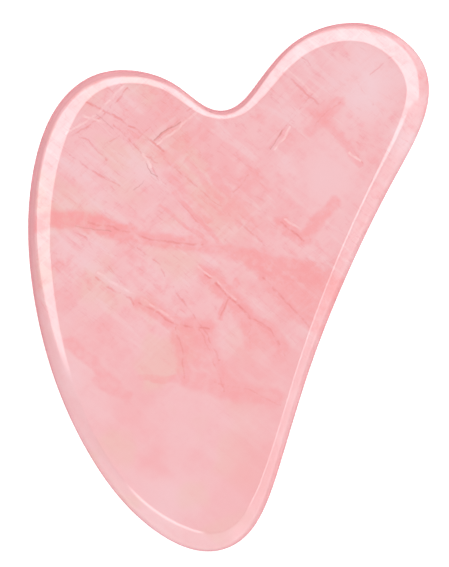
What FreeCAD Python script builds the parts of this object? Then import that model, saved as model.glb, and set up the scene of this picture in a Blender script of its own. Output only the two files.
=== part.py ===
# Heart-shaped gua sha scraper: one flat, polished piece of rose quartz, with two lobes, a notch
# between them for the jaw or a finger, and a long tapering tail.
#
# The stone lies on its back face, front face up. +X runs to the right, +Y from the tail's tip
# to the lobes, and +Z is the thickness. The origin is the middle of the stone's footprint, at
# the back face. Millimetres.
#
# Going outwards from either flat face, the rim is a crease, a shallow bevel that ends at a
# shoulder, and a rounded nose that turns upright at the waist, half way up the thickness.
import FreeCAD, Part
import math
import os

# ---- driving dimensions ----------------------------------------------------------------
THICKNESS = 6.0  # flat back face to flat front face
BEVEL_START = 14.0  # degrees by which the bevel falls away from the flat face at the crease
BEVEL_END = 28.0  # degrees by which it falls away at the shoulder
NOSE_LEAD = 0.75  # share of the nose's width over which it carries on at the shoulder's slope
NOSE_UPRIGHT = 0.4  # share of the nose's height, up from the waist, that leads it upright

# The closed outline at the waist, where the stone is widest. Each row is one control point of
# a smooth closed curve: x, y, the rim's width there, from the outline in to the crease, and the
# share of that width that is bevel. They run clockwise from the notch. The bevel is wide round
# the lobes and down the upper left flank, and narrow down the right flank and round the tail.
# The curves cut the corners of their points, the outline more than the crease, so on the tight
# lobes the rim comes out up to a quarter narrower than its row says.
OUTLINE = [
    (-4.0, 27.3, 1.7, 0.55),  # floor of the notch
    (2.1, 26.7, 1.9, 0.45),
    (8.4, 38.9, 2.9, 0.80),  # inner slope of the right lobe
    (21.8, 42.7, 3.5, 0.80),  # top of the right lobe
    (31.7, 35.5, 4.5, 0.69),  # outer corner of the right lobe
    (31.2, 26.2, 3.8, 0.28),
    (25.5, 16.7, 3.0, 0.12),  # neck
    (19.2, 4.1, 2.6, 0.10),  # hollow right flank
    (12.6, -11.7, 2.0, 0.10),
    (8.1, -27.6, 1.9, 0.10),
    (4.2, -39.3, 3.0, 0.10),  # tip of the tail
    (-4.4, -42.5, 4.0, 0.14),
    (-14.7, -36.1, 2.8, 0.22),  # full left flank
    (-22.1, -26.0, 2.2, 0.10),
    (-27.6, -13.9, 3.0, 0.10),
    (-30.7, -0.7, 3.5, 0.50),
    (-31.6, 12.8, 3.7, 0.60),
    (-28.6, 27.3, 4.2, 0.70),  # outer corner of the left lobe
    (-20.3, 34.8, 2.9, 0.50),  # top of the left lobe
    (-8.7, 32.9, 1.7, 0.50),  # inner slope of the left lobe
]

# ---- worked out from them --------------------------------------------------------------
WAIST = THICKNESS / 2
OUTLINE_DEGREE = 3
SLOPE_START = math.tan(math.radians(BEVEL_START))
SLOPE_END = math.tan(math.radians(BEVEL_END))
UP = FreeCAD.Vector(0, 0, 1)


def inward(index):
    """Unit vector across the rim at one control point, from the outline towards the middle."""
    before = OUTLINE[index - 1]
    after = OUTLINE[(index + 1) % len(OUTLINE)]
    along = FreeCAD.Vector(after[0] - before[0], after[1] - before[1], 0)
    return along.cross(UP).normalize()


def profile(rim_width, bevel_share):
    """The rim's cross-section at one control point, as points (distance in, height).

    The first three are the bevel's control points, from the crease to the shoulder, and the
    last four are the nose's, from the shoulder to the waist.
    """
    half_bevel = rim_width * bevel_share / 2
    nose_width = rim_width - 2 * half_bevel
    middle_height = THICKNESS - half_bevel * SLOPE_START
    shoulder_height = middle_height - half_bevel * SLOPE_END
    lead = nose_width * NOSE_LEAD
    return [
        (rim_width, THICKNESS),
        (rim_width - half_bevel, middle_height),
        (nose_width, shoulder_height),
        (nose_width - lead, shoulder_height - lead * SLOPE_END),
        (0, WAIST + (shoulder_height - WAIST) * NOSE_UPRIGHT),
        (0, WAIST),
    ]


def rim_poles():
    """For each control point of the outline, the profile's points in space."""
    poles = []
    for index, (x, y, rim_width, bevel_share) in enumerate(OUTLINE):
        across = inward(index)
        row = []
        for distance_in, height in profile(rim_width, bevel_share):
            row.append(FreeCAD.Vector(x, y, height) + across * distance_in)
        poles.append(row)
    return poles


def closed_knots(count):
    """Knots and their multiplicities for a closed, evenly spaced curve of that many points."""
    return list(range(count + 1)), [1] * (count + 1)


def flat_face(poles):
    """The flat front face, inside the crease."""
    crease = [row[0] for row in poles]
    knots, mults = closed_knots(len(crease))
    curve = Part.BSplineCurve()
    curve.buildFromPolesMultsKnots(crease, mults, knots, True, OUTLINE_DEGREE)
    return Part.Face(Part.Wire(curve.toShape()))


def rim_face(poles, first, last):
    """One smooth face right round the stone, between two points of the profile."""
    rows = [row[first : last + 1] for row in poles]
    degree = last - first
    knots, mults = closed_knots(len(rows))
    end_mults = [degree + 1, degree + 1]
    surface = Part.BSplineSurface()
    surface.buildFromPolesMultsKnots(
        rows, mults, end_mults, knots, [0, 1], True, False, OUTLINE_DEGREE, degree
    )
    return surface.toShape()


def scraper_stone():
    """The whole stone: a front half and its mirror image, meeting at the waist."""
    poles = rim_poles()
    bevel = rim_face(poles, 0, 2)
    nose = rim_face(poles, 2, 5)
    front = [flat_face(poles), bevel, nose]
    middle = FreeCAD.Vector(0, 0, WAIST)
    back = [face.mirror(middle, UP) for face in front]
    shell = Part.makeShell(front + back)
    shell.sewShape()
    stone = Part.Solid(shell)
    if stone.Volume < 0:
        stone.reverse()
    box = stone.optimalBoundingBox(False)
    stone.translate(FreeCAD.Vector(-box.Center.x, -box.Center.y, -box.ZMin))
    return stone


def main():
    os.makedirs("parts", exist_ok=True)
    stone = scraper_stone()
    stone.exportStep("parts/scraper_stone.step")
    box = stone.optimalBoundingBox(False)
    print(f"size {box.XLength:.2f} x {box.YLength:.2f} x {box.ZLength:.2f} mm")
    print(f"valid {stone.isValid()}, solids {len(stone.Solids)}, faces {len(stone.Faces)}")


main()
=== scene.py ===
import math

import bmesh
import bpy
import numpy as np
from mathutils import Matrix, Vector


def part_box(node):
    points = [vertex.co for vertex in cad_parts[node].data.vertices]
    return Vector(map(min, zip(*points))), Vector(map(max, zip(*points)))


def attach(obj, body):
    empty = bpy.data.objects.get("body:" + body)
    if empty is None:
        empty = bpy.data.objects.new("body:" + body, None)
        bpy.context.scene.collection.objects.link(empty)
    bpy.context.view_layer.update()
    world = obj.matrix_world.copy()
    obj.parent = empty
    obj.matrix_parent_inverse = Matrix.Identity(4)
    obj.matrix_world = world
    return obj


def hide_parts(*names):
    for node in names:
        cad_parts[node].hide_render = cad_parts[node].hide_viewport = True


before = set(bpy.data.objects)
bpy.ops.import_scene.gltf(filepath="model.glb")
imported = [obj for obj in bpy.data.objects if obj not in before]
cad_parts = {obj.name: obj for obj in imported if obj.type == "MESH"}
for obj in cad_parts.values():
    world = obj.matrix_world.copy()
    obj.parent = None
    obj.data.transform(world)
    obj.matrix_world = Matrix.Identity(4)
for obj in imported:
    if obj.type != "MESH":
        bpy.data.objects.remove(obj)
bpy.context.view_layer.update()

MM = 0.001

# ---- the stone's shape, in millimetres, as in the design --------------------------------
THICKNESS = 6.0
BEVEL_START = 14.0  # degrees below the flat face, just outside its crease
BEVEL_END = 28.0  # degrees below the flat face, at the shoulder
NOSE_LEAD = 0.75  # share of the nose's width over which it keeps the shoulder's slope
NOSE_UPRIGHT = 0.4  # share of the nose's height, up from the waist, that leads it upright
CREASE_ROUND = 0.12  # how far the polished corner at the crease reaches, each way
CREASE_MOST = 0.35  # the most of the bevel that the corner takes up
# One control point of the closed outline per row: x, y, rim width, share that is bevel.
OUTLINE = np.array([
    (-4.0, 27.3, 1.7, 0.55),  # floor of the notch
    (2.1, 26.7, 1.9, 0.45),
    (8.4, 38.9, 2.9, 0.80),  # inner slope of the right lobe
    (21.8, 42.7, 3.5, 0.80),  # top of the right lobe
    (31.7, 35.5, 4.5, 0.69),  # outer corner of the right lobe
    (31.2, 26.2, 3.8, 0.28),
    (25.5, 16.7, 3.0, 0.12),  # neck
    (19.2, 4.1, 2.6, 0.10),  # hollow right flank
    (12.6, -11.7, 2.0, 0.10),
    (8.1, -27.6, 1.9, 0.10),
    (4.2, -39.3, 3.0, 0.10),  # tip of the tail
    (-4.4, -42.5, 4.0, 0.14),
    (-14.7, -36.1, 2.8, 0.22),  # full left flank
    (-22.1, -26.0, 2.2, 0.10),
    (-27.6, -13.9, 3.0, 0.10),
    (-30.7, -0.7, 3.5, 0.50),
    (-31.6, 12.8, 3.7, 0.60),
    (-28.6, 27.3, 4.2, 0.70),  # outer corner of the left lobe
    (-20.3, 34.8, 2.9, 0.50),  # top of the left lobe
    (-8.7, 32.9, 1.7, 0.50),  # inner slope of the left lobe
])

# ---- how finely it is meshed ------------------------------------------------------------
AROUND = 640  # points round the outline
ACROSS_CORNER = 5
ACROSS_BEVEL = 8
ACROSS_NOSE = 18
FACE_RINGS = 14

# ---- the polish -------------------------------------------------------------------------
STONE_IOR = 1.6  # a little over quartz's 1.54, for a stronger shine
POLISH_ROUGHNESS = 0.03
POLISH_UNEVEN = 0.06  # the most that the uneven polish adds
SCUFF_ROUGHNESS = 0.20  # the most that a vein at the surface adds
RELIEF_STRENGTH = 0.25
RELIEF_DEPTH = 0.01  # of the grooves along healed cracks, in millimetres
COAT_ROUGHNESS = 0.03

# ---- the studio: metres, and degrees in the sky ------------------------------------------
FLOOR_HALF = 4.0
FLOOR_DROP = 0.00003  # keeps the floor clear of the stone's back face
FLOOR_WHITE = (0.95, 0.95, 0.95, 1)
FLOOR_ROUGHNESS = 0.8
FLOOR_GLOW = 0.35
BACKDROP_RADIUS = 2.5

# Each softbox: its range of angles down from straight up, and the width of its soft border,
# then the same for its range of angles round from +Y towards -X.
RING = ((25, 61.5, 0.8), (-104, 110, 6))
LOBE_SIDE = ((25, 66, 1), (-100, -22, 8))  # reaches lower than the ring, by the right lobe
FLANK_SIDE = ((25, 57, 2), (-128, -98, 6))  # carries the ring on beside the hollow flank
TAIL_ARC = ((25, 60, 2), (132, 174, 6))  # a short arc at the left of the tail
PANEL = ((57, 100, 6), (-158, -90, 8))  # low down beside the hollow flank
# These have only a range of angles down from straight up, and the width of its soft border.
REFLECTOR_POLAR = (57, 112, 4)
GLOW_POLAR = (57, 104, 4)
HORIZON_POLAR = (80, 98, 5)
BOUNCE_START, BOUNCE_FULL = 100, 118

REFLECTOR_TILT = -0.12  # how far the reflector stands to the left of straight beyond the tail
REFLECTOR_EDGE, REFLECTOR_FULL = 0.45, 0.90

# How strong each light is.
RING_LIGHT = 2.55
REFLECTOR_LIGHT = 0.75
PANEL_LIGHT = 0.55
GLOW_LIGHT = 0.28
HORIZON_LIGHT = 0.25
BOUNCE_LIGHT = 0.65
BOUNCE_COLOUR = (1.0, 0.42, 0.46)
FILL_LIGHT = 0.08

LENS = 200
SENSOR = 36
VIEW_HEIGHT = 0.08799  # what the picture takes in from top to bottom, at the stone's waist
VIEW_MIDDLE = (-0.00063, 0.00056)


def closed_curve(control, count):
    """Points evenly spaced in the parameter along a closed cubic B-spline."""
    t = np.linspace(0, len(control), count, endpoint=False)
    span = np.floor(t).astype(int)
    f = (t - span)[:, None]
    weights = [
        (1 - f) ** 3 / 6,
        (3 * f**3 - 6 * f**2 + 4) / 6,
        (-3 * f**3 + 3 * f**2 + 3 * f + 1) / 6,
        f**3 / 6,
    ]
    return sum(w * control[(span + k - 1) % len(control)] for k, w in enumerate(weights))


def bezier(points, t):
    """The place at t along a Bezier curve, or on many curves at once."""
    work = [np.array(p, float) for p in points]
    while len(work) > 1:
        work = [a * (1 - t) + b * t for a, b in zip(work, work[1:])]
    return work[0]


def profile_rings():
    """Control polygons of the six curves round the rim, from the crease to the waist."""
    x, y, rim, share = OUTLINE.T
    along = np.roll(OUTLINE[:, :2], -1, 0) - np.roll(OUTLINE[:, :2], 1, 0)
    along /= np.linalg.norm(along, axis=1)[:, None]
    inward = np.column_stack([along[:, 1], -along[:, 0]])
    start = math.tan(math.radians(BEVEL_START))
    end = math.tan(math.radians(BEVEL_END))
    waist = THICKNESS / 2
    half = rim * share / 2
    nose = rim - 2 * half
    middle = THICKNESS - half * start
    shoulder = middle - half * end
    lead = nose * NOSE_LEAD
    across = [
        (rim, np.full_like(rim, THICKNESS)),
        (rim - half, middle),
        (nose, shoulder),
        (nose - lead, shoulder - lead * end),
        (0 * rim, waist + (shoulder - waist) * NOSE_UPRIGHT),
        (0 * rim, np.full_like(rim, waist)),
    ]
    rings = []
    for distance_in, height in across:
        place = OUTLINE[:, :2] + inward * distance_in[:, None]
        rings.append(np.column_stack([place, height]))
    return rings


def front_rings():
    """Rings of points from the middle of the front face out to the waist."""
    curves = [closed_curve(r, AROUND) for r in profile_rings()]
    crease = curves[0]
    outward = curves[2] - crease
    outward[:, 2] = 0
    bevel_width = np.linalg.norm(outward, axis=1)[:, None]
    outward /= bevel_width
    # The corner at the crease is a small arc, from the flat face over on to the bevel. It
    # takes up less than half of the bevel, however narrow the bevel is.
    reach = np.minimum(CREASE_ROUND, bevel_width * CREASE_MOST)
    corner_end = reach / bevel_width
    start_in = crease - outward * reach
    corner = [start_in, crease, bezier(curves[0:3], corner_end)]
    middle = np.array([*crease[:, :2].mean(0), THICKNESS])
    rings = []
    for k in range(1, FACE_RINGS + 1):
        share = k / (FACE_RINGS + 1)
        rings.append(middle + (start_in - middle) * share)
    rings.append(start_in - outward * reach * 0.5)
    rings += [bezier(corner, t) for t in np.linspace(0, 1, ACROSS_CORNER)]
    for t in np.linspace(0, 1, ACROSS_BEVEL)[1:]:
        rings.append(bezier(curves[0:3], corner_end + (1 - corner_end) * t))
    rings += [bezier(curves[2:6], t) for t in np.linspace(0, 1, ACROSS_NOSE)[1:]]
    return middle, rings


def stone_mesh():
    """The whole stone as one closed mesh: the front, and its mirror image below the waist."""
    middle, rings = front_rings()
    back = [r * (1, 1, -1) + (0, 0, THICKNESS) for r in rings[:-1]]
    rings = rings + back[::-1]
    bm = bmesh.new()
    loops = [[bm.verts.new(Vector(p) * MM) for p in ring] for ring in rings]
    for inner, outer in zip(loops, loops[1:]):
        for i in range(AROUND):
            j = (i + 1) % AROUND
            bm.faces.new((inner[i], outer[i], outer[j], inner[j]))
    for loop, height in ((loops[0], THICKNESS), (loops[-1], 0.0)):
        centre = bm.verts.new(Vector((middle[0], middle[1], height)) * MM)
        for i in range(AROUND):
            bm.faces.new((centre, loop[i], loop[(i + 1) % AROUND]))
    bmesh.ops.recalc_face_normals(bm, faces=bm.faces)
    mesh = bpy.data.meshes.new("scraper_stone_polished")
    bm.to_mesh(mesh)
    bm.free()
    mesh.shade_smooth()
    return mesh


def make_stone():
    stone = bpy.data.objects.new("scraper_stone_polished", stone_mesh())
    bpy.context.scene.collection.objects.link(stone)
    low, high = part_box("scraper_stone")
    co = np.array([v.co for v in stone.data.vertices])
    shift = (np.array(low) + np.array(high)) / 2 - (co.min(0) + co.max(0)) / 2
    stone.data.transform(Matrix.Translation(Vector(shift)))
    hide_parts("scraper_stone")
    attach(stone, "root")
    return stone


# ---- the pattern in the stone, in millimetres on the front face --------------------------
# Each row is one streak: how far it reaches to either side, how strongly it shows, and the
# points it runs through.
CORAL = [
    (2.0, 0.80, [(-31, 10.4), (-23, 10.3), (-19, 9.3), (-15.5, 8.2)]),
    (1.3, 0.55, [(-15.5, 8.1), (-11, 7.2)]),
    (1.6, 0.55, [(-11, 7.3), (-6, 6.7), (0, 5.4), (4, 4.4)]),
    (2.6, 0.65, [(4, 4.2), (9, 2.6), (12.5, 2.2), (15.5, 0.2)]),
    (3.2, 0.45, [(7, 2), (11, 0.2), (13, -2.2)]),
    (1.6, 0.60, [(-13.6, -2.6), (-10.9, -4), (-8.5, -5.7), (-3, -6.2)]),
    (1.5, 0.55, [(-8.1, -6.2), (-7.2, -9.8), (-6.7, -14)]),
    (2.6, 0.50, [(-7, -7.4), (-3.4, -8), (-4.4, -11)]),
    (2.0, 0.60, [(-3.8, 2.2), (-1.4, 0.1), (1.8, -3), (3.2, -5.2)]),
    (1.6, 0.45, [(3.2, -4.6), (3.4, -8.6)]),
    (1.6, 0.45, [(3.2, -4.6), (6.5, -6.6), (8.2, -9.2)]),
    (1.4, 0.60, [(8.2, 9.9), (10, 8.4), (11.5, 7.3), (14.2, 10.8), (16.3, 12.9)]),
    (1.5, 0.50, [(5.5, 1.5), (7.9, -1.2), (10, -3.9), (13.2, -6)]),
    (2.2, 0.45, [(-6.5, -14), (0, -15.8), (7, -17)]),
    (0.8, 0.60, [(-3.9, 2.2), (-1.4, 0.1), (0.3, -1.6), (3.3, -4.6), (6.5, -6.6)]),
    (0.7, 0.60, [(0, -1.2), (-0.9, -3.2), (-1.5, -4.6)]),
    (0.7, 0.60, [(3.3, -4.6), (3.3, -8.4)]),
    (0.7, 0.50, [(0.3, -1.4), (1.2, 1)]),
    (0.8, 0.55, [(-9.6, -4.6), (-4.6, -6.2), (-3, -9.5), (-1.4, -12.5), (-0.8, -15)]),
    (0.7, 0.50, [(-7.9, -6.5), (-7.2, -10), (-6.8, -14)]),
    (0.7, 0.40, [(-13.5, -14), (-6.5, -14.3), (2.8, -15.6)]),
    (2.0, 0.40, [(-4.2, -7), (-2, -12), (-0.6, -16)]),
    (0.9, 0.40, [(14.5, 25.3), (16.2, 24), (18.4, 21.8), (20.2, 19.2)]),
    (1.1, 0.40, [(12.2, 24), (14.8, 26.7), (17.3, 28.6)]),
    (1.8, 0.40, [(-9.8, 20), (-7.5, 21.4), (-4.8, 23.4), (-3.2, 25.2)]),
    (1.4, 0.45, [(-24.5, -8.8), (-22.1, -10.5), (-17.4, -15.2)]),
    (1.2, 0.35, [(-20.2, -14.4), (-15.8, -16.8)]),
    (1.8, 0.35, [(3.6, 17.4), (2.2, 14), (0, 11)]),
    (0.9, 0.40, [(-9.5, 17.5), (-3, 10.5)]),
    (0.8, 0.40, [(-6.5, 19.5), (1.5, 10)]),
    (0.9, 0.35, [(-3, 18), (4, 9.5)]),
    (0.6, 0.45, [(-8.5, 14.5), (-1, 6.5)]),
    (0.5, 0.45, [(-10.5, 12.5), (-4, 7.5)]),
]
VEINS = [
    (0.26, 0.75, [(-22, 28.6), (-19.1, 27.2), (-14, 24.1), (-10, 21)]),
    (0.21, 0.55, [(-17.7, 25.1), (-13, 20.3), (-10.9, 19.1)]),
    (0.21, 0.50, [(-24.6, 20.4), (-20.1, 17.3), (-16.8, 15.8)]),
    (0.21, 0.45, [(-23.8, 23.4), (-21.8, 22.7), (-18.8, 19.6)]),
    (0.24, 0.65, [(-24.5, 23.1), (-19.8, 26.1), (-17.4, 28.5), (-15.6, 30.7)]),
    (0.26, 0.60, [(-11.6, 22.6), (-9.6, 23.9), (-5.7, 27.6)]),
    (0.18, 0.45, [(-14, 22.7), (-12.2, 24.7)]),
    (0.18, 0.45, [(-11.9, 18.7), (-10.8, 16.4)]),
    (0.18, 0.45, [(-8.3, 18.4), (-6.2, 16.6), (-3.4, 14.2), (-1.3, 12.4)]),
    (0.18, 0.40, [(-9.7, 14.7), (-6.8, 12.2), (-4.7, 9.9)]),
    (0.24, 0.60, [(-22.2, 9.9), (-18, 9.2), (-15, 8.3), (-12, 7.3), (-4, 6.5)]),
    (0.21, 0.45, [(0.1, 11.2), (2.5, 9.3), (5, 7.1)]),
    (0.26, 0.80, [(8.1, 10), (10, 8.4), (11.6, 7.2)]),
    (0.32, 0.85, [(-3.9, 2.2), (-1.4, 0.1), (0.3, -1.6), (3.3, -4.6)]),
    (0.21, 0.60, [(0, -1.9), (-0.7, -3.5), (-1.6, -4.8)]),
    (0.21, 0.55, [(3.3, -4.6), (3.3, -8.6)]),
    (0.21, 0.55, [(3.3, -4.6), (6.5, -6.5), (8.1, -9.1)]),
    (0.26, 0.70, [(-13.7, -2.5), (-10.9, -4), (-8.5, -5.7), (-2.9, -6.4)]),
    (0.21, 0.50, [(-8.6, -0.1), (-3.8, -6.4), (-1.3, -11.2)]),
    (0.21, 0.50, [(-8.2, -6.3), (-7.2, -9.8), (-6.8, -14)]),
    (0.18, 0.45, [(-4.5, -6.5), (-3, -9.5), (-0.6, -16.1)]),
    (0.24, 0.65, [(5.4, 1.6), (7.9, -1.2), (12.4, -6)]),
    (0.18, 0.35, [(4.4, -5.6), (6.7, -6.9), (8.6, -10.6)]),
    (0.24, 0.60, [(-20.5, 1.6), (-18.4, -0.2), (-15, -1.6), (-14.6, -2.7)]),
    (0.21, 0.50, [(-23.9, 8.7), (-22.1, 7.6), (-20.3, 5.1)]),
    (0.18, 0.40, [(-19.5, 3.9), (-16.6, 1.4)]),
    (0.21, 0.50, [(-14.1, 6), (-10.6, 3.5), (-9.8, 1.7)]),
    (0.18, 0.40, [(-29.7, -1.8), (-27.5, -4.4)]),
    (0.24, 0.60, [(8.4, 33.1), (11, 30.9), (13.9, 28.2)]),
    (0.18, 0.40, [(10.9, 27.5), (13.1, 29.8)]),
    (0.18, 0.40, [(19.9, 31.2), (22.3, 28.2)]),
    (0.18, 0.45, [(21.7, 32.7), (25.4, 35.7)]),
    (0.21, 0.55, [(6.3, 21.5), (7.5, 23), (9, 25)]),
    (0.18, 0.45, [(0, 13.8), (1.9, 15.7), (3, 17.3)]),
    (0.18, 0.40, [(-18.4, 22.4), (-17, 23.4)]),
    (0.18, 0.40, [(-14.3, 15.2), (-13.3, 16.3)]),
    (0.18, 0.40, [(11.3, 35.6), (12.7, 34.2)]),
    (0.18, 0.35, [(2.6, 13.2), (4.7, 11.8)]),
    (0.18, 0.50, [(13.2, 25), (15.4, 27.2), (17.2, 28.5)]),
    (0.18, 0.45, [(18.9, 21.6), (20.6, 19.2)]),
    (0.18, 0.35, [(-2.2, -14.6), (3, -15.8), (8, -18.2)]),
]
# Painted highlights: pale streaks beside the cracks, where the crack faces would catch the light.
CRACK_GLINTS = [
    (0.30, 0.45, [(-25, 23.8), (-20.2, 26.8), (-16.3, 31)]),
    (0.30, 0.45, [(-11, 22), (-9, 23.4), (-5, 27)]),
    (0.30, 0.40, [(-20, 2.2), (-17.8, 0.5), (-14.6, -0.9)]),
    (0.30, 0.40, [(-4.6, 3.1), (-1.8, 0.9), (1.2, -2)]),
    (0.30, 0.45, [(8.6, 10.6), (11, 8.9)]),
    (0.34, 0.40, [(-13.4, -1.8), (-8.6, -4.9)]),
    (0.30, 0.60, [(-13.2, 20.6), (-12, 18.6)]),
    (0.30, 0.55, [(-22.5, 26.4), (-19.5, 25.4)]),
    (0.30, 0.55, [(18.6, 20.6), (20.2, 19.6)]),
    (0.26, 0.50, [(7.2, 21.2), (9.6, 24.6)]),
    (0.26, 0.30, [(9, 33.7), (14.2, 28.9)]),
]
# The few darkest cracks, which are brown rather than red.
DARK_VEINS = [
    (0.14, 0.50, [(-11.6, 22.8), (-9.6, 24.1), (-7.5, 25.3)]),
    (0.14, 0.45, [(-12.7, 19), (-11.9, 17.6), (-11, 17)]),
    (0.14, 0.35, [(-14.5, 15), (-13.2, 16.4)]),
    (0.14, 0.40, [(6.4, 21.3), (7.2, 22.4), (8.3, 24.2)]),
    (0.14, 0.30, [(-20.4, 26.7), (-17.8, 24.4)]),
    (0.14, 0.30, [(-23.6, 9.4), (-18.2, 8.6)]),
]
# Each row is one soft cloud: its middle, its radius and how strongly it shows.
CORAL_CLOUDS = [
    (-20, -7, 6, 0.22), (-1, 20, 6, 0.26), (11, 0, 7, 0.40), (14.8, 25, 2.6, 0.35),
    (-12, -27, 4, 0.35), (4, -10, 8, 0.30), (-14, -21, 5, 0.25), (1, -15, 6, 0.35),
    (-5, -8, 5, 0.28), (4, -28, 8, 0.20),
]
PALE_CLOUDS = [
    (-13, 18, 6, 0.45), (-24, 3, 5, 0.50), (-9, 2, 5, 0.35), (21, 31, 9, 0.95),
    (-25, -13, 5, 0.40), (-12, 2, 4, 0.35), (15, 17, 7, 0.35), (-9, -33, 7, 0.35),
    (-21, 12.8, 3.5, 0.45), (-17, 30, 5, 0.30), (-24, 18, 4.5, 0.45), (26, 24, 4, 0.60),
    (9, 18, 4.5, 0.40), (12, -8, 3, 0.30),
]
BEIGE_CLOUDS = [
    (-16, 15, 5, 0.60), (-8.5, 4.5, 5, 0.80), (-18, 8.5, 3, 0.40), (-8, 24, 4, 0.35),
    (2, -8, 4, 0.40), (-21, 30, 4, 0.40),
]

# Smooth patches, where the bars and cracks hardly show.
CALM = [
    (15, 17, 11, 1.0), (22, 31, 9, 0.7), (-9, -28, 12, 0.6), (0, -32, 10, 0.6),
    (-25, -9, 7, 0.6),
]
# Straight growth bars that cross the stone both ways: their angle, how strongly they show, and
# where in the noise they are taken from.
BARS = [(-40, 0.33, 5.0), (43, 0.20, 31.0)]
CRACKS_APART = 7.0  # between the bars' place in the noise and that of the cracks along them

CORAL_FADE = 0.60  # the share of a streak's width over which it fades out
FINE_FADE = 0.8
SLANT = (0.7, -0.5)  # how far the pattern moves sideways for each millimetre down
# The side of the stone where the painted shade round the rim is deepest.
SHADED_RIM_SIDE = (-0.6, 0.8, 0)  # the side of the stone where the rim looks deepest

# Linear colours.
BODY = (0.752, 0.424, 0.443)
BODY_DEEP = (0.748, 0.366, 0.380)
BEIGE = (0.725, 0.425, 0.395)
CORAL_COLOUR = (0.765, 0.290, 0.294)
VEIN_COLOUR = (0.690, 0.210, 0.210)
PALE_COLOUR = (0.745, 0.505, 0.532)
DARK_COLOUR = (0.480, 0.185, 0.170)
# The colour of the painted highlights beside the cracks.
GLINT_COLOUR = (0.820, 0.610, 0.620)
# Painted shade for the rim: deeper pink where the edge is seen through the stone, and on its less
# lit side.
RIM_SHADE_COLOUR = (0.610, 0.262, 0.282)


class Nodes:
    """Short ways to add and join nodes in one tree."""

    def __init__(self, tree):
        self.tree = tree

    def add(self, kind, **settings):
        node = self.tree.nodes.new(kind)
        for key, value in settings.items():
            setattr(node, key, value)
        return node

    def feed(self, socket, value):
        if isinstance(value, bpy.types.NodeSocket):
            self.tree.links.new(value, socket)
        else:
            socket.default_value = value

    def math(self, operation, *values, clamp=False):
        node = self.add("ShaderNodeMath", operation=operation, use_clamp=clamp)
        for socket, value in zip(node.inputs, values):
            self.feed(socket, value)
        return node.outputs[0]

    def vector(self, operation, *values):
        node = self.add("ShaderNodeVectorMath", operation=operation)
        for socket, value in zip(node.inputs, values):
            self.feed(socket, value)
        return node

    def step(self, value, low, high):
        """0 below low and 1 above high, with a smooth change between."""
        node = self.add("ShaderNodeMapRange", interpolation_type="SMOOTHSTEP")
        self.feed(node.inputs["Value"], value)
        self.feed(node.inputs["From Min"], low)
        self.feed(node.inputs["From Max"], high)
        return node.outputs[0]

    def mix(self, share, low, high):
        node = self.add("ShaderNodeMix", data_type="RGBA")
        self.feed(node.inputs["Factor"], share)
        for name, value in (("A", low), ("B", high)):
            socket = next(s for s in node.inputs if s.name == name and s.type == "RGBA")
            if not isinstance(value, bpy.types.NodeSocket):
                value = (*value, 1)
            self.feed(socket, value)
        return next(s for s in node.outputs if s.type == "RGBA")

    def tint(self, colour, target, share, most):
        """The colour, shifted to the target where the share is 1, by the most there is."""
        return self.mix(self.math("MULTIPLY", share, most), colour, target)

    def noise(self, place, scale, detail, roughness=0.5):
        node = self.add("ShaderNodeTexNoise")
        self.feed(node.inputs["Vector"], place)
        node.inputs["Scale"].default_value = scale
        node.inputs["Detail"].default_value = detail
        node.inputs["Roughness"].default_value = roughness
        return node


def streak_group():
    """A node group that adds one streak to a pattern.

    What goes in and comes out is the place in x and y, with the strongest streak so far in z.
    Handing both on together makes the streaks run one after another, however many there are.
    """
    tree = bpy.data.node_groups.new("streak", "ShaderNodeTree")
    face = tree.interface
    for name in ("Pattern", "Start", "Along"):
        face.new_socket(name, in_out="INPUT", socket_type="NodeSocketVector")
    for name in ("Per Length", "Width", "Fade", "Strength"):
        face.new_socket(name, in_out="INPUT", socket_type="NodeSocketFloat")
    face.new_socket("Pattern", in_out="OUTPUT", socket_type="NodeSocketVector")
    n = Nodes(tree)
    given = n.add("NodeGroupInput").outputs
    out = n.add("NodeGroupOutput")
    split = n.add("ShaderNodeSeparateXYZ")
    n.feed(split.inputs[0], given["Pattern"])
    x, y, so_far = split.outputs
    away = n.vector("SUBTRACT", given["Pattern"], given["Start"]).outputs[0]
    dot = n.vector("DOT_PRODUCT", away, given["Along"]).outputs["Value"]
    share = n.math("MULTIPLY", dot, given["Per Length"], clamp=True)
    scaled = n.vector("SCALE", given["Along"])
    n.feed(scaled.inputs["Scale"], share)
    gap = n.vector("SUBTRACT", away, scaled.outputs[0]).outputs[0]
    gap = n.vector("MULTIPLY", gap, (1, 1, 0)).outputs[0]
    distance = n.vector("LENGTH", gap).outputs["Value"]
    near = n.math("SUBTRACT", 1.0, n.math("DIVIDE", distance, given["Width"]), clamp=True)
    shows = n.math("MULTIPLY", n.step(near, 0.0, given["Fade"]), given["Strength"])
    joined = n.add("ShaderNodeCombineXYZ")
    n.feed(joined.inputs["X"], x)
    n.feed(joined.inputs["Y"], y)
    n.feed(joined.inputs["Z"], n.math("MAXIMUM", so_far, shows))
    n.feed(out.inputs["Pattern"], joined.outputs[0])
    return tree


def streaks(n, group, place, rows, fade):
    """The strongest of all the streaks in a list. Fade is the share of the width that fades."""
    pattern = place
    for width, strength, points in rows:
        for start, end in zip(points, points[1:]):
            along = (end[0] - start[0], end[1] - start[1], 0)
            node = n.add("ShaderNodeGroup", node_tree=group)
            n.feed(node.inputs["Pattern"], pattern)
            node.inputs["Start"].default_value = (*start, 0)
            node.inputs["Along"].default_value = along
            node.inputs["Per Length"].default_value = 1 / (along[0] ** 2 + along[1] ** 2)
            node.inputs["Width"].default_value = width
            node.inputs["Fade"].default_value = fade
            node.inputs["Strength"].default_value = strength
            pattern = node.outputs[0]
    split = n.add("ShaderNodeSeparateXYZ")
    n.feed(split.inputs[0], pattern)
    return split.outputs["Z"]


def clouds(n, group, place, rows):
    """Round soft patches: streaks so short that they are points."""
    points = [(radius, share, [(x, y), (x + 0.01, y)]) for x, y, radius, share in rows]
    return streaks(n, group, place, points, 1.0)


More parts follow.
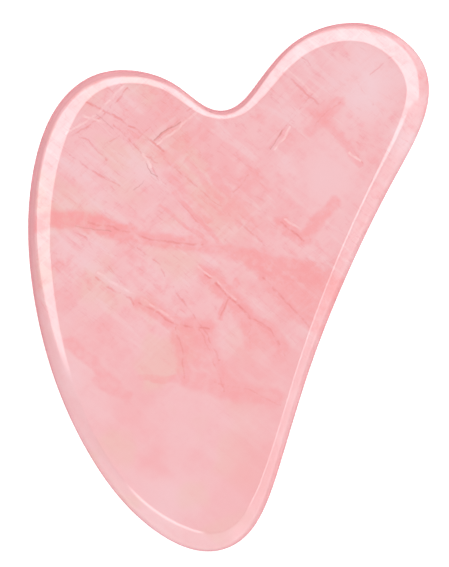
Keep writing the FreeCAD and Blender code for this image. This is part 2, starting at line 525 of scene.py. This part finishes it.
def wander(n, solid, flat, scale, reach):
    """The place in the face with an uneven sideways shift, so that lines aren't straight."""
    field = n.noise(solid, scale, 4.0).outputs["Color"]
    centred = n.vector("SUBTRACT", field, (0.5, 0.5, 0.5)).outputs[0]
    flattened = n.vector("MULTIPLY", centred, (reach, reach, 0)).outputs[0]
    return n.vector("ADD", flat, flattened).outputs[0]


def slanted(n, solid, angle, length, scale, detail, seed):
    """A noise drawn out along one direction in the face, and down through the stone."""
    place = n.add("ShaderNodeMapping", vector_type="TEXTURE")
    n.feed(place.inputs["Vector"], solid)
    place.inputs["Location"].default_value = (seed, seed, seed)
    place.inputs["Rotation"].default_value = (0, 0, math.radians(angle))
    place.inputs["Scale"].default_value = (length, 1, length)
    return n.noise(place.outputs[0], scale, detail, 0.55).outputs["Fac"]


def growth_bars(n, solid, colour, broken, lively):
    """The colour with the growth bars and the healed cracks along them, and the cracks alone."""
    grooves = 0.0
    for angle, most, seed in BARS:
        bars = slanted(n, solid, angle, 7.0, 0.42, 3.0, seed)
        dark = n.math("MULTIPLY", n.step(bars, 0.52, 0.60), lively)
        light = n.math("MULTIPLY", n.step(bars, 0.46, 0.38), lively)
        colour = n.tint(colour, CORAL_COLOUR, n.math("MULTIPLY", dark, broken), most)
        colour = n.tint(colour, PALE_COLOUR, light, most * 1.2)
        cracks = slanted(n, solid, angle, 9.0, 1.1, 2.0, seed + CRACKS_APART)
        offset = n.math("ABSOLUTE", n.math("SUBTRACT", cracks, 0.5))
        line = n.math("SUBTRACT", 1.0, n.step(offset, 0.0, 0.022))
        grooves = n.math("ADD", grooves, line)
        shows = n.math("MULTIPLY", n.math("MULTIPLY", line, broken), lively)
        colour = n.tint(colour, VEIN_COLOUR, shows, most * 0.85)
    return colour, grooves


def painted_rim_shade(n, surface_normal):
    """Painted shade round the rim: how much deeper its colour is painted, for the darker look
    where the stone is seen through its edge, and for the less lit upper left side.

    It is deepest on one side, from the shoulder outwards, and elsewhere only at the waist.
    """
    normal = n.add("ShaderNodeSeparateXYZ")
    n.feed(normal.inputs[0], surface_normal)
    upright = n.math("SUBTRACT", 1.0, n.math("ABSOLUTE", normal.outputs["Z"]))
    facing = n.vector("DOT_PRODUCT", surface_normal, SHADED_RIM_SIDE)
    # Painted shade over the shoulder on the less lit side, beyond where the bevel shines.
    corner = n.step(facing.outputs["Value"], 0.10, 0.45)
    corner = n.math("MULTIPLY", n.math("MULTIPLY", corner, n.step(upright, 0.11, 0.20)), 0.90)
    # A painted dark line round the waist, where the edge is seen through the stone.
    waist = n.math("MULTIPLY", n.step(upright, 0.60, 0.95), 0.45)
    return n.math("MAXIMUM", corner, waist)


def add_polish(n, shader, solid, surface_veins, grooves):
    """An uneven polish, duller over the veins, with the healed cracks as very shallow grooves."""
    polish = n.math("MULTIPLY", n.noise(solid, 0.35, 4.0, 0.6).outputs["Fac"], POLISH_UNEVEN)
    scuffed = n.math("MULTIPLY", surface_veins, SCUFF_ROUGHNESS)
    roughness = n.math("ADD", n.math("ADD", polish, POLISH_ROUGHNESS), scuffed)
    n.feed(shader.inputs["Roughness"], roughness)
    relief = n.add("ShaderNodeBump")
    relief.invert = True
    relief.inputs["Strength"].default_value = RELIEF_STRENGTH
    relief.inputs["Distance"].default_value = RELIEF_DEPTH * MM
    n.feed(relief.inputs["Height"], grooves)
    n.feed(shader.inputs["Normal"], relief.outputs["Normal"])
    shader.inputs["IOR"].default_value = STONE_IOR
    shader.inputs["Coat Weight"].default_value = 1.0
    shader.inputs["Coat Roughness"].default_value = COAT_ROUGHNESS


def rose_quartz():
    mat = bpy.data.materials.new("rose_quartz")
    mat.use_nodes = True
    n = Nodes(mat.node_tree)
    shader = mat.node_tree.nodes["Principled BSDF"]
    coordinates = n.add("ShaderNodeTexCoord")
    solid = n.vector("SCALE", coordinates.outputs["Object"])
    solid.inputs["Scale"].default_value = 1 / MM
    solid = solid.outputs[0]
    split = n.add("ShaderNodeSeparateXYZ")
    n.feed(split.inputs[0], solid)
    x, y, z = split.outputs
    # The pattern dives into the stone at a slant, so the back isn't a copy of the front.
    depth = n.math("SUBTRACT", THICKNESS, z)
    flat = n.add("ShaderNodeCombineXYZ")
    n.feed(flat.inputs["X"], n.math("SUBTRACT", x, n.math("MULTIPLY", depth, SLANT[0])))
    n.feed(flat.inputs["Y"], n.math("SUBTRACT", y, n.math("MULTIPLY", depth, SLANT[1])))
    flat = flat.outputs[0]

    group = streak_group()
    coral = streaks(n, group, wander(n, solid, flat, 0.5, 1.6), CORAL, CORAL_FADE)
    fine_place = wander(n, solid, flat, 0.55, 0.9)
    veins = streaks(n, group, fine_place, VEINS, FINE_FADE)
    crack_glints = streaks(n, group, fine_place, CRACK_GLINTS, FINE_FADE)
    dark_veins = streaks(n, group, fine_place, DARK_VEINS, FINE_FADE)
    cloud_place = wander(n, solid, flat, 0.16, 8.0)
    coral_cloud = clouds(n, group, cloud_place, CORAL_CLOUDS)
    pale_cloud = clouds(n, group, cloud_place, PALE_CLOUDS)
    beige_cloud = clouds(n, group, cloud_place, BEIGE_CLOUDS)

    # Uneven growth: deeper stone all over, and yellower stone in the left half.
    deep = n.step(n.noise(solid, 0.10, 4.0, 0.58).outputs["Fac"], 0.42, 0.66)
    warm = n.step(n.noise(solid, 0.13, 2.0, 0.45).outputs["Fac"], 0.50, 0.64)
    warm = n.math("MULTIPLY", warm, n.step(x, 9.0, -6.0))
    broken = n.step(n.noise(solid, 0.7, 5.0, 0.6).outputs["Fac"], 0.34, 0.62)
    # The tail is smoother than the lobes.
    lively = n.math("ADD", n.math("MULTIPLY", n.step(y, -18.0, 4.0), 0.75), 0.25)
    calm = clouds(n, group, cloud_place, CALM)
    lively = n.math("MULTIPLY", lively, n.math("SUBTRACT", 1.0, calm))

    deep = n.math("MULTIPLY", deep, n.math("SUBTRACT", 1.0, n.math("MULTIPLY", calm, 0.7)))
    colour = n.tint(BODY, BODY_DEEP, deep, 0.65)
    colour = n.tint(colour, BEIGE, warm, 0.75)
    colour = n.mix(pale_cloud, colour, PALE_COLOUR)
    colour = n.mix(beige_cloud, colour, BEIGE)
    colour = n.mix(coral_cloud, colour, CORAL_COLOUR)
    colour, grooves = growth_bars(n, solid, colour, broken, lively)

    # The drawn streaks are worn thin in places, and the fine ones are broken into dashes.
    worn = n.math("ADD", n.math("MULTIPLY", broken, 0.5), 0.6)
    colour = n.mix(n.math("MULTIPLY", coral, worn, clamp=True), colour, CORAL_COLOUR)
    surface_veins = n.math("MULTIPLY", veins, broken)
    colour = n.tint(colour, VEIN_COLOUR, surface_veins, 0.85)
    # The pale streaks beside the cracks are painted highlights.
    colour = n.mix(n.math("MULTIPLY", crack_glints, broken), colour, GLINT_COLOUR)
    colour = n.mix(n.math("MULTIPLY", dark_veins, worn, clamp=True), colour, DARK_COLOUR)
    # Painted shade round the rim: deeper pink at the waist all round, and over the upper left
    # shoulder.
    colour = n.mix(painted_rim_shade(n, coordinates.outputs["Normal"]), colour, RIM_SHADE_COLOUR)

    n.feed(shader.inputs["Base Color"], colour)
    add_polish(n, shader, solid, surface_veins, grooves)
    return mat


def studio_piece(name, bm):
    """An object with the mesh that has been built, and the shader of its new material."""
    mesh = bpy.data.meshes.new(name)
    bm.to_mesh(mesh)
    bm.free()
    piece = bpy.data.objects.new(name, mesh)
    bpy.context.scene.collection.objects.link(piece)
    mat = bpy.data.materials.new(name)
    mat.use_nodes = True
    mesh.materials.append(mat)
    return piece, mat.node_tree.nodes["Principled BSDF"]


def make_floor():
    """A white table, which the stone itself doesn't mirror."""
    bm = bmesh.new()
    bmesh.ops.create_grid(bm, x_segments=1, y_segments=1, size=FLOOR_HALF)
    floor, shader = studio_piece("floor", bm)
    floor.location.z = -FLOOR_DROP
    shader.inputs["Base Color"].default_value = FLOOR_WHITE
    shader.inputs["Roughness"].default_value = FLOOR_ROUGHNESS
    shader.inputs["Emission Color"].default_value = (1, 1, 1, 1)
    shader.inputs["Emission Strength"].default_value = FLOOR_GLOW
    floor.visible_glossy = False


def make_backdrop():
    """A white dome that only the camera sees, so that low views have a plain background."""
    bm = bmesh.new()
    bmesh.ops.create_uvsphere(bm, u_segments=48, v_segments=24, radius=BACKDROP_RADIUS)
    dome, shader = studio_piece("backdrop", bm)
    shader.inputs["Base Color"].default_value = (0, 0, 0, 1)
    shader.inputs["Specular IOR Level"].default_value = 0
    shader.inputs["Emission Color"].default_value = (1, 1, 1, 1)
    shader.inputs["Emission Strength"].default_value = 1.0
    dome.visible_diffuse = False
    dome.visible_glossy = False
    dome.visible_transmission = False
    dome.visible_shadow = False


def make_light():
    """The studio's light, all of it in the sky.

    A ring-shaped softbox hangs overhead, open at the tail but for a short arc. Lower down are a
    reflector beyond the tail and a panel beside the hollow flank. A weak glow and a pale strip
    run right round the horizon. From below comes the pink that the stone throws on the table.
    """
    world = bpy.data.worlds.new("studio")
    bpy.context.scene.world = world
    world.use_nodes = True
    n = Nodes(world.node_tree)
    split = n.add("ShaderNodeSeparateXYZ")
    n.feed(split.inputs[0], n.add("ShaderNodeTexCoord").outputs["Generated"])
    x, y, z = split.outputs
    polar = n.math("ARCCOSINE", z)
    azimuth = n.math("ARCTAN2", n.math("MULTIPLY", x, -1.0), y)

    def window(value, low, high, soft):
        low, high, soft = (math.radians(v) for v in (low, high, soft))
        inside = n.step(value, low, low + soft)
        return n.math("MULTIPLY", inside, n.step(value, high, high - soft))

    def softbox(down, round_range):
        return n.math("MULTIPLY", window(polar, *down), window(azimuth, *round_range))

    ring = softbox(*RING)
    flank = softbox(*FLANK_SIDE)
    lobe = softbox(*LOBE_SIDE)
    tail = softbox(*TAIL_ARC)
    lit = n.math("ADD", n.math("MAXIMUM", n.math("MAXIMUM", ring, lobe), flank), tail)
    towards = n.math("SUBTRACT", n.math("MULTIPLY", x, REFLECTOR_TILT), y)
    reflector = n.math(
        "MULTIPLY",
        window(polar, *REFLECTOR_POLAR),
        n.step(towards, REFLECTOR_EDGE, REFLECTOR_FULL),
    )
    glow = window(polar, *GLOW_POLAR)
    panel = softbox(*PANEL)
    horizon = window(polar, *HORIZON_POLAR)
    below = n.step(polar, math.radians(BOUNCE_START), math.radians(BOUNCE_FULL))
    strength = FILL_LIGHT
    for light, power in (
        (lit, RING_LIGHT),
        (reflector, REFLECTOR_LIGHT),
        (panel, PANEL_LIGHT),
        (glow, GLOW_LIGHT),
        (horizon, HORIZON_LIGHT),
        (below, BOUNCE_LIGHT),
    ):
        strength = n.math("ADD", strength, n.math("MULTIPLY", light, power))
    background = world.node_tree.nodes["Background"]
    n.feed(background.inputs["Color"], n.mix(below, (1, 1, 1), BOUNCE_COLOUR))
    n.feed(background.inputs["Strength"], strength)


def make_camera():
    """A long lens straight above the stone, which sees it face-on."""
    data = bpy.data.cameras.new("camera")
    data.lens = LENS
    data.sensor_width = SENSOR
    camera = bpy.data.objects.new("camera", data)
    bpy.context.scene.collection.objects.link(camera)
    camera.location = (*VIEW_MIDDLE, THICKNESS * MM / 2 + VIEW_HEIGHT * LENS / SENSOR)
    bpy.context.scene.camera = camera


stone = make_stone()
stone.data.materials.append(rose_quartz())
make_floor()
make_backdrop()
make_light()
make_camera()
bpy.context.scene.view_settings.view_transform = "Standard"
